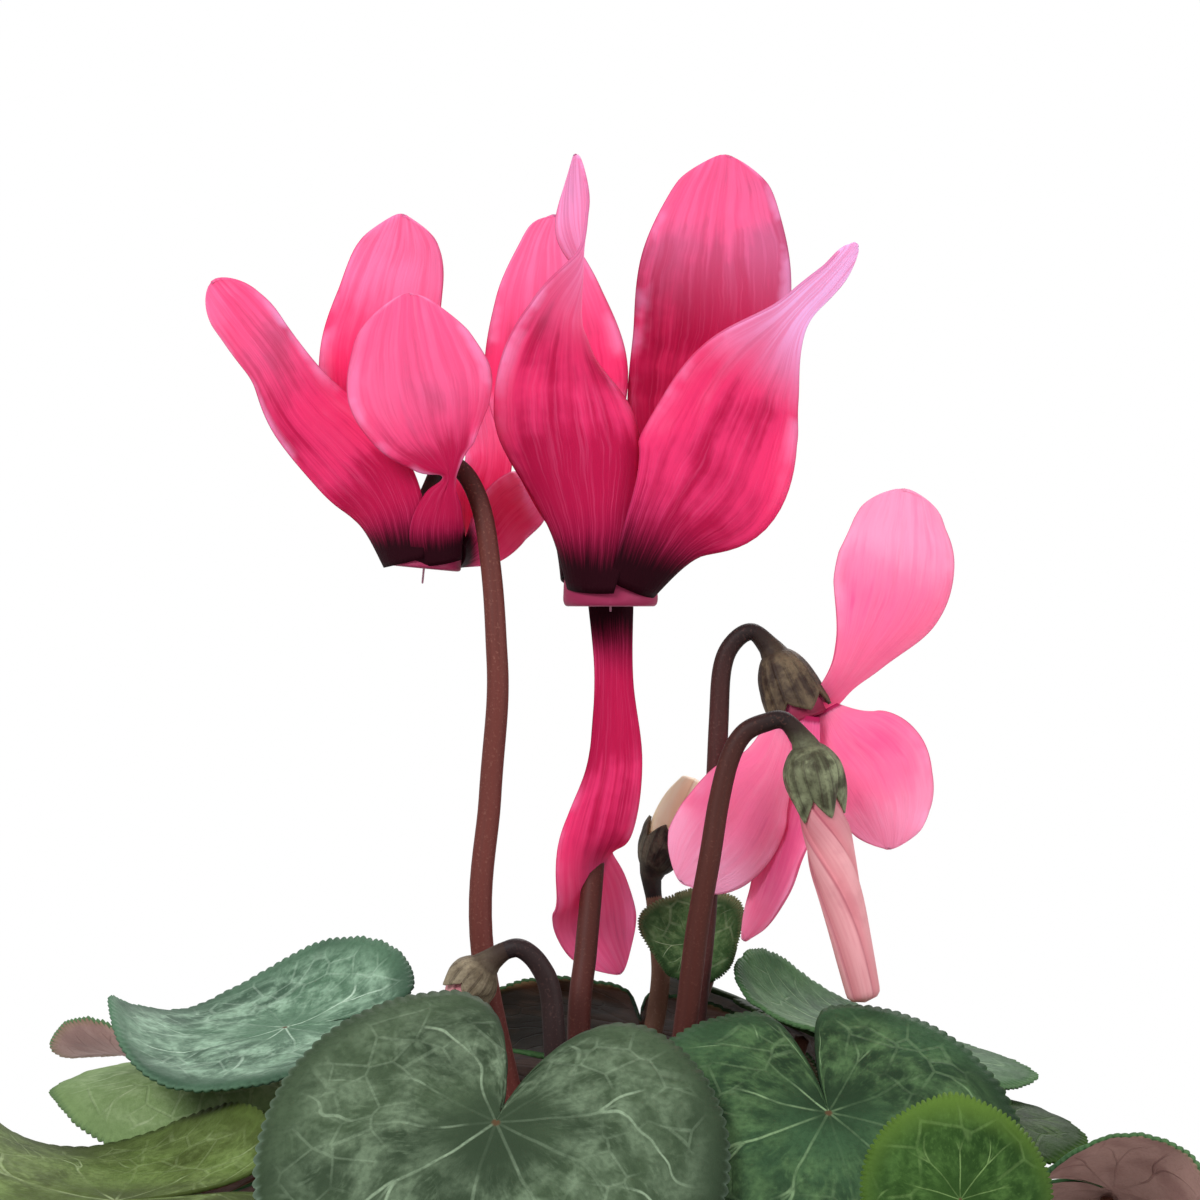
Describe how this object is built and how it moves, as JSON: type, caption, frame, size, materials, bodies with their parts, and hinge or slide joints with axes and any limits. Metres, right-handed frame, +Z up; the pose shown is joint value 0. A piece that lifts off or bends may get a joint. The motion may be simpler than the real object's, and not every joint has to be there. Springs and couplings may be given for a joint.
{
  "type": "potted cyclamen",
  "caption": "Flowering cyclamen with turned-back pink petals and hooked stalks over marbled heart-shaped leaves, growing from a tuber in a plain round nursery pot.",
  "frame": {"origin": "centre of the flat underside of the pot", "axes": "+Z up along the pot's axis; -Y is the side that the plant is seen from, with +X to the right"},
  "size_m": [0.1813, 0.1872, 0.2872],
  "materials": {
    "petal": "soft satin",
    "paler_petal": "soft satin",
    "bud_petal": "soft satin",
    "cream_petal": "soft satin",
    "flower_stalk": "satin",
    "calyx": "matte",
    "stamen": "matte",
    "leaf": "waxy satin",
    "young_leaf": "waxy satin",
    "leaf_stalk": "satin",
    "soil": "matte",
    "pot": "matte"
  },
  "bodies": {
    "root": {"centre_flower_calyx": "calyx", "centre_flower_petals": "petal", "centre_flower_stalk": "flower_stalk", "centre_flower_stamens": "stamen", "cream_bud_calyx": "calyx", "cream_bud_petals": "cream_petal", "cream_bud_stalk": "flower_stalk", "leaf_back_1": "leaf", "leaf_back_2": "leaf", "leaf_back_3": "leaf", "leaf_back_left": "leaf", "leaf_back_right": "leaf", "leaf_curled_left": "leaf", "leaf_front_left": "leaf", "leaf_front_right": "leaf", "leaf_left": "young_leaf", "leaf_low_left": "leaf", "leaf_low_right": "leaf", "leaf_middle_1": "leaf", "leaf_middle_2": "leaf", "leaf_middle_3": "leaf", "leaf_middle_4": "leaf", "leaf_middle_5": "leaf", "leaf_middle_6": "leaf", "leaf_outer_1": "leaf", "leaf_outer_2": "leaf", "leaf_outer_3": "leaf", "leaf_outer_4": "leaf", "leaf_outer_5": "leaf", "leaf_outer_6": "leaf", "leaf_outer_7": "leaf", "leaf_outer_8": "leaf", "leaf_outer_9": "leaf", "leaf_turned_right": "leaf", "leaf_young_behind": "young_leaf", "leaf_young_front": "young_leaf", "left_flower_calyx": "calyx", "left_flower_petals": "petal", "left_flower_stalk": "flower_stalk", "left_flower_stamens": "stamen", "pot": "pot", "right_flower_calyx": "calyx", "right_flower_petals": "paler_petal", "right_flower_stalk": "flower_stalk", "right_flower_stamens": "stamen", "small_bud_calyx": "calyx", "small_bud_petals": "bud_petal", "small_bud_stalk": "flower_stalk", "soil": "soil", "tuber_and_leaf_stalks": "leaf_stalk", "twisted_bud_calyx": "calyx", "twisted_bud_petals": "bud_petal", "twisted_bud_stalk": "flower_stalk"}
  },
  "joints": []
}
